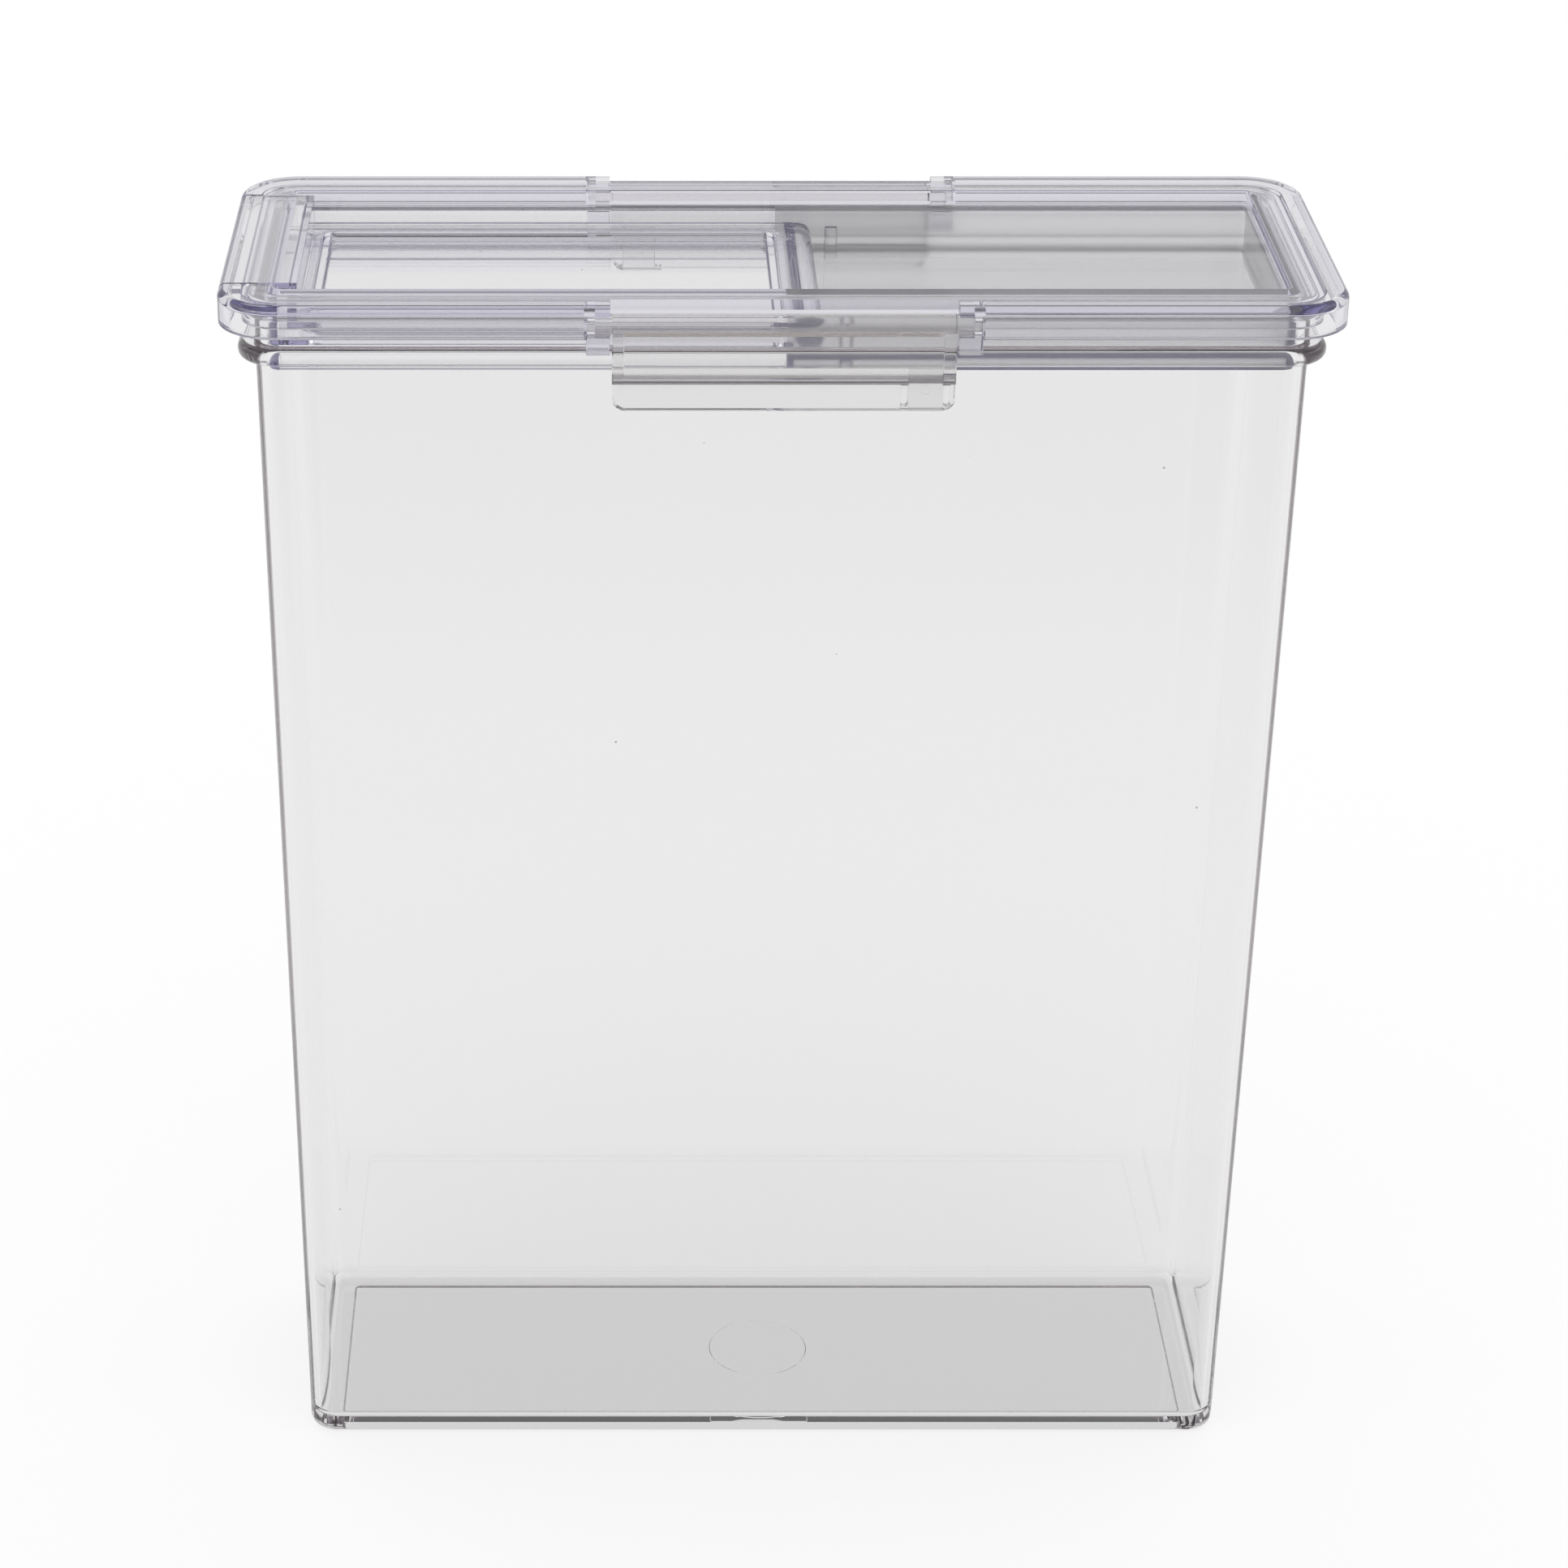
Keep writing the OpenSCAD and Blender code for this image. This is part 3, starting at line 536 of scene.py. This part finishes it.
hook_in = 40.17
hook = rounded_outline([(plate_in + 0.2, hook_low), (plate_in + 0.2, hook_top), (hook_in, hook_top),
                        (hook_in, 285.5), ((hook_in + plate_in) / 2, hook_low)],
                       [0, 0, 0.3, 0.4, 0.6], steps=4)
slots = []
for x in (-1, 1):
    cx = gate_x + x * (gate_half + slot_w / 2)
    slots.append(prism(rounded_outline([(cx - slot_w / 2, hook_low), (cx - slot_w / 2, 279.4),
                                        (cx + slot_w / 2, 279.4), (cx + slot_w / 2, hook_low)],
                                       [0, 0.79, 0.79, 0], steps=8), 44.0, 46.2, axis="y"))
block = one(box([gate_x - gate_half - slot_w, plate_in - 1.0, latch_low + 0.02],
                [gate_x + gate_half + slot_w, plate_in + 0.5, hook_low + 0.2], 0.2, 0.15),
            [("&", prism(face, 43.0, lid_y, axis="y"))])
end_rib = box([latch_x - 2.7, 43.5, hook_low], [latch_x, plate_in + 0.5, latch_z], 0.3, 0.25)
latch_mesh = one(latch_plate(), [
    ("+", bar("x", -latch_x, latch_x, (latch_y, latch_z), 2.4)),
    ("+", bar("x", -ear_x - 1.6, ear_x + 1.6, (latch_y, latch_z), pin_r)),
    ("+", prism(hook, -latch_x, latch_x)),
    ("+", end_rib), ("+", mirrored(end_rib, x=-1)), ("+", block)] + [("-", m) for m in slots] + [
    ("-", box([gate_x - gate_half, lid_y - 0.125, latch_low - past],
              [gate_x + gate_half, lid_y + past, latch_low + 10], 0.2, 0)),
    ("-", bar("y", lid_y - 0.25, lid_y + past, (gate_x, latch_low + 5), 1.0, edge=0))])
rear_latch = finished("rear_latch_moulding", latch_mesh, "rear_latch")
front_latch = finished("front_latch_moulding", mirrored(latch_mesh, -1, -1), "front_latch")

# %% [markdown]
# The two seals are silicone rings in their channels. Each is a closed profile with soft corners
# carried round a rounded rectangle, a hair clear of the plastic on every side, because two surfaces
# in the same place would confuse the light that crosses them.

# %% Seals
def seal(name, stands_for, half_x, half_y, radius, width, low, high, middle=0.0, soft=0.5):
    """A ring whose outer side has these half sizes and corner radius, this wide inwards."""
    rows = [[0, low], [0, high], [width, high], [width, low]]
    rows = [[half_x - i, half_y - i, radius - i, z] for i, z in rows]
    closed = soften([rows[-1], *rows, rows[0]], [0] + [soft] * 4 + [0], steps=5)[1:-1]
    mesh = skin(name, closed, arc=16, side=8, ring=True, middle=(middle, 0))
    return finished(name, mesh, stands_for)


lid_seal = seal("lid_seal_ring", "lid_seal", 118.1, 40.3, 7.1, 3.95, 297.42, 299.12)
spout_seal = seal("spout_seal_ring", "spout_seal", 55.0, 30.05, 5.5, 2.0, 291.12, 293.4,
                  middle=-52.5, soft=0.4)

# %% [markdown]
# Clear SAN or AS plastic, injection moulded and polished by its mould. The eye gets three things
# from it: bright see-through faces, dark thin lines where light is trapped along an edge, and a
# faint lavender cast that deepens with thickness. A Principled shader with full transmission and an
# IOR of 1.57 gives the first two, and Volume Absorption gives the cast.

# %% Short names for the nodes that count
def maths(tree, operation, a, b=0.0):
    """The result of one Math node."""
    return add(tree, "ShaderNodeMath", {0: a, 1: b}, operation=operation).outputs[0]


def vector(tree, operation, a, b=(0, 0, 0)):
    """The result of one Vector Math node: a number for a length, and otherwise a vector."""
    node = add(tree, "ShaderNodeVectorMath", {0: a, 1: b}, operation=operation)
    return node.outputs["Value" if operation == "LENGTH" else "Vector"]


def blend(tree, share, a, b):
    """a (1 - share) + b share."""
    return add(tree, "ShaderNodeMix", {0: share, 2: a, 3: b}, data_type="FLOAT").outputs[0]


def ramp(tree, value, start, end, low, high, kind="SMOOTHSTEP"):
    """From low at start to high at end, level outside them. With t the share of the way, the smooth
    kind goes by t t (3 - 2t) and the linear kind by t."""
    return add(tree, "ShaderNodeMapRange", {"Value": value, "From Min": start, "From Max": end,
                                            "To Min": low, "To Max": high},
               interpolation_type=kind).outputs[0]


# %% Clear plastic
def clear(name, per_metre, ripple=0.004, finish=None):
    """per_metre is how fast red, green and blue fade: light keeps exp(-rate * length) of each. The
    absorption's colour is 1 - rate / density, so density is a little over the largest rate."""
    material = bpy.data.materials.new(name)
    material.use_nodes = True
    tree = material.node_tree
    tree.nodes.clear()
    where = add(tree, "ShaderNodeTexCoord").outputs["Object"]
    # Sink: long shallow waves that a moulding keeps from its cooling.
    wave = add(tree, "ShaderNodeTexNoise", {"Vector": where, "Scale": 18.0, "Detail": 1.0})
    bump = add(tree, "ShaderNodeBump", {"Strength": ripple, "Distance": 0.0006,
                                        "Height": wave.outputs[0]})
    # Haze: handling takes the polish off in patches.
    haze = add(tree, "ShaderNodeTexNoise", {"Vector": where, "Scale": 60.0, "Detail": 4.0})
    gloss = ramp(tree, haze.outputs[0], 0.35, 0.75, 0.0, 0.016, "LINEAR")
    if finish:
        gloss = finish(tree, where, gloss)
    # Specks: one small dot of dirt to a cell of the Voronoi pattern.
    cell = add(tree, "ShaderNodeTexVoronoi", {"Vector": where, "Scale": 30.0})
    dot = maths(tree, "LESS_THAN", cell.outputs["Distance"], 0.009)
    speck = add(tree, "ShaderNodeMix", {0: dot, 6: (1, 1, 1, 1), 7: linear("#8A857F")},
                data_type="RGBA")
    shader = add(tree, "ShaderNodeBsdfPrincipled",
                 {"Base Color": speck.outputs[2], "IOR": 1.57, "Transmission Weight": 1.0,
                  "Roughness": gloss, "Normal": bump.outputs[0]})
    density = 1.2 * max(per_metre)
    kept = [1 - rate / density for rate in per_metre]
    inside = add(tree, "ShaderNodeVolumeAbsorption", {"Color": (*kept, 1.0), "Density": density})
    add(tree, "ShaderNodeOutputMaterial", {"Surface": shader.outputs[0],
                                           "Volume": inside.outputs[0]})
    return material


# %% [markdown]
# Where a face is hidden or handled, its mould is left matt by spark erosion. The shader finds such a
# face by its place: every mask below is a few comparisons on the object's coordinates.

# %% Matt places
def matt_core(tree, where, gloss):
    """The tray's hidden faces. The plug wall's outer face is where the length of
    max(|p| - centre, 0), the distance from the rectangle of the corner centres, is about the plug's
    radius, on the tray's side and under the roof. The underside is found by its height."""
    centre = ((mouth_x - corner) * MM, (mouth_y - corner) * MM, 1.0)
    off = vector(tree, "SUBTRACT", vector(tree, "ABSOLUTE", where), centre)
    away = vector(tree, "LENGTH", vector(tree, "MAXIMUM", off))
    along, _, high = add(tree, "ShaderNodeSeparateXYZ", {0: where}).outputs
    wall_mask = maths(tree, "GREATER_THAN", away, (plug_r - 0.35) * MM)
    for test in (maths(tree, "LESS_THAN", away, (plug_r + 0.25) * MM),
                 maths(tree, "GREATER_THAN", along, cross_x0 * MM),
                 maths(tree, "LESS_THAN", high, (roof_z - 0.4) * MM)):
        wall_mask = maths(tree, "MULTIPLY", wall_mask, test)
    under_mask = maths(tree, "LESS_THAN", high, (tray_z + 0.05) * MM)
    wall_roughness, under_roughness = 0.6, 0.16
    gloss = blend(tree, under_mask, gloss, under_roughness)
    return blend(tree, wall_mask, gloss, wall_roughness)


def matt_pad(tree, where, gloss):
    """The gate's pad. Its mask is a box: max(|x - x0| / a, |y - y0| / b, |z - z0| / c) < 1. The
    front latch is the rear one turned half a turn, so x is taken times the sign of y."""
    x, y, z = add(tree, "ShaderNodeSeparateXYZ", {0: where}).outputs
    x = maths(tree, "MULTIPLY", x, maths(tree, "SIGN", y))
    y = maths(tree, "ABSOLUTE", y)
    place = add(tree, "ShaderNodeCombineXYZ", {0: x, 1: y, 2: z}).outputs[0]
    middle = (gate_x * MM, (lid_y - 0.1) * MM, (latch_low + 4.8) * MM)
    half = ((gate_half + 0.05) * MM, 0.2 * MM, 5.2 * MM)
    off = vector(tree, "DIVIDE", vector(tree, "SUBTRACT", place, middle), half)
    x, y, z = add(tree, "ShaderNodeSeparateXYZ", {0: vector(tree, "ABSOLUTE", off)}).outputs
    most = maths(tree, "MAXIMUM", maths(tree, "MAXIMUM", x, y), z)
    pad_roughness = 0.3
    return blend(tree, maths(tree, "LESS_THAN", most, 1.0), gloss, pad_roughness)


# %% Silicone
def silicone(name):
    """Moulded silicone rubber: clear, with a fine grain that softens what is seen through it."""
    material = bpy.data.materials.new(name)
    material.use_nodes = True
    tree = material.node_tree
    tree.nodes.clear()
    where = add(tree, "ShaderNodeTexCoord").outputs["Object"]
    grain = add(tree, "ShaderNodeTexNoise", {"Vector": where, "Scale": 900.0, "Detail": 2.0})
    bump = add(tree, "ShaderNodeBump", {"Strength": 0.1, "Distance": 0.0001,
                                        "Height": grain.outputs[0]})
    shader = add(tree, "ShaderNodeBsdfPrincipled",
                 {"Base Color": linear("#F4F4F8"), "IOR": 1.41, "Transmission Weight": 1.0,
                  "Roughness": 0.06, "Normal": bump.outputs[0]})
    add(tree, "ShaderNodeOutputMaterial", {"Surface": shader.outputs[0]})
    return material


# %% [markdown]
# Styrene acrylonitrile for the four kinds of moulding: the body almost without a tint, the lid and
# the flap lavender, because blue fades the least in them, and the latches a warm grey. Silicone for
# the seals.

# %% Dress the pieces
san_body = clear("clear_san_moulded_body", (2.0, 2.3, 2.1))
san_lid = clear("clear_san_moulded_lid", (12.5, 13.5, 6.5), finish=matt_core)
san_flap = clear("clear_san_moulded_flap", (10.0, 10.8, 6.0))
san_latch = clear("clear_san_moulded_latch", (22.0, 24.5, 25.5), finish=matt_pad)
rubber = silicone("translucent_silicone_moulded")
dressing = [(body_piece, san_body, "clear_body"), (lid_piece, san_lid, "clear_lid"),
            (flap_piece, san_flap, "clear_flap"), (front_latch, san_latch, "clear_latch"),
            (rear_latch, san_latch, "clear_latch"), (lid_seal, rubber, "silicone"),
            (spout_seal, rubber, "silicone")]
for thing, material, slot in dressing:
    thing.data.materials.clear()
    thing.data.materials.append(material)
    print(thing.name, "wears", material.name)

# %% [markdown]
# The light comes from a white table and a pale room, with a low panel at the back, one high at each
# side and one overhead: no lamp is needed. The camera sees table and room at full white, and the
# table still takes the container's soft shadow. Ray Depth counts the surfaces that a ray has met.
# After a few of them the ray has only looked through the walls, and finds all round it pale. After
# many it has run about inside the lid, and finds the front and the room dark: that contrast draws
# the fine lines in the rim.

# %% Table
few, many, pale = 4.2, 6.8, 0.79
reach, drop = 6.0, 1e-4
table_mesh = bpy.data.meshes.new("table")
table_mesh.from_pydata([(-reach, -reach, -drop), (reach, -reach, -drop), (reach, reach, -drop),
                        (-reach, reach, -drop)], [], [(0, 1, 2, 3)])
table = bpy.data.objects.new("table", table_mesh)
bpy.context.scene.collection.objects.link(table)
paper = bpy.data.materials.new("white_paper_sweep")
paper.use_nodes = True
tree = paper.node_tree
tree.nodes.clear()
path = add(tree, "ShaderNodeLightPath").outputs
bent = maths(tree, "MAXIMUM", path["Is Glossy Ray"], path["Is Transmission Ray"])
seen = maths(tree, "MAXIMUM", bent, path["Is Camera Ray"])
share = maths(tree, "MULTIPLY", seen, 0.8)
y = add(tree, "ShaderNodeSeparateXYZ", {0: add(tree, "ShaderNodeTexCoord").outputs["Object"]})
y = y.outputs["Y"]
front = maths(tree, "MAXIMUM", ramp(tree, y, -0.75, -0.3, 0.08, 0.85),
              ramp(tree, path["Ray Depth"], few, many, pale, 0))
behind = ramp(tree, y, 0.2, 1.4, 0.81, 0.76, "LINEAR")
is_behind = maths(tree, "GREATER_THAN", y, -0.0335)
bright = blend(tree, bent, 1.0, blend(tree, is_behind, front, behind))
matt = add(tree, "ShaderNodeBsdfDiffuse", {"Color": (0.85, 0.85, 0.85, 1)})
glow = add(tree, "ShaderNodeEmission", {"Color": (1, 1, 1, 1), "Strength": bright})
both = add(tree, "ShaderNodeMixShader", {0: share, 1: matt.outputs[0], 2: glow.outputs[0]})
add(tree, "ShaderNodeOutputMaterial", {"Surface": both.outputs[0]})
table_mesh.materials.append(paper)
print("table", 2 * reach, "m wide,", drop * 1000, "mm under the foot")

# %% Room
world = bpy.data.worlds.new("studio")
bpy.context.scene.world = world
world.use_nodes = True
tree = world.node_tree
tree.nodes.clear()
sky = add(tree, "ShaderNodeSeparateXYZ", {0: add(tree, "ShaderNodeTexCoord").outputs["Generated"]})
x, y, z = sky.outputs
back_panel = maths(tree, "MULTIPLY", ramp(tree, y, 0.12, 0.3, 0, 1),
                   maths(tree, "MULTIPLY", ramp(tree, z, 0.1, 0.2, 0.2, 0.7),
                         ramp(tree, z, 0.45, 0.6, 1, 0.08)))
side_panels = maths(tree, "MULTIPLY", ramp(tree, maths(tree, "ABSOLUTE", x), 0.72, 0.8, 0, 1),
                    ramp(tree, z, 0.25, 0.35, 0.1, 1.5))
top_panel = ramp(tree, z, 0.88, 0.92, 0, 0.6)
path = add(tree, "ShaderNodeLightPath").outputs
lit = ramp(tree, path["Ray Depth"], few, many, pale, 0.06)
for panel in (back_panel, side_panels, top_panel):
    lit = maths(tree, "MAXIMUM", panel, lit)
lit = blend(tree, path["Is Diffuse Ray"], lit, 1.25)
lit = blend(tree, path["Is Camera Ray"], lit, 1.0)
glow = add(tree, "ShaderNodeBackground", {"Color": (1, 1, 1, 1), "Strength": lit})
add(tree, "ShaderNodeOutputWorld", {"Surface": glow.outputs[0]})
print("room of", len(tree.nodes), "nodes")

# %% [markdown]
# Light that enters a clear wall can run down it like light in a fibre, turning at its faces dozens
# of times. The limit on bounces is set high enough to follow it out at the foot, or those walls
# would come out black.

# %% Follow the light through the walls
cycles = bpy.context.scene.cycles
cycles.max_bounces = cycles.glossy_bounces = cycles.transmission_bounces = 128
cycles.diffuse_bounces = 3
print("bounces", cycles.max_bounces, "in plastic and", cycles.diffuse_bounces, "on paper")

# %% Set the view transform
bpy.context.scene.view_settings.view_transform = "Standard"
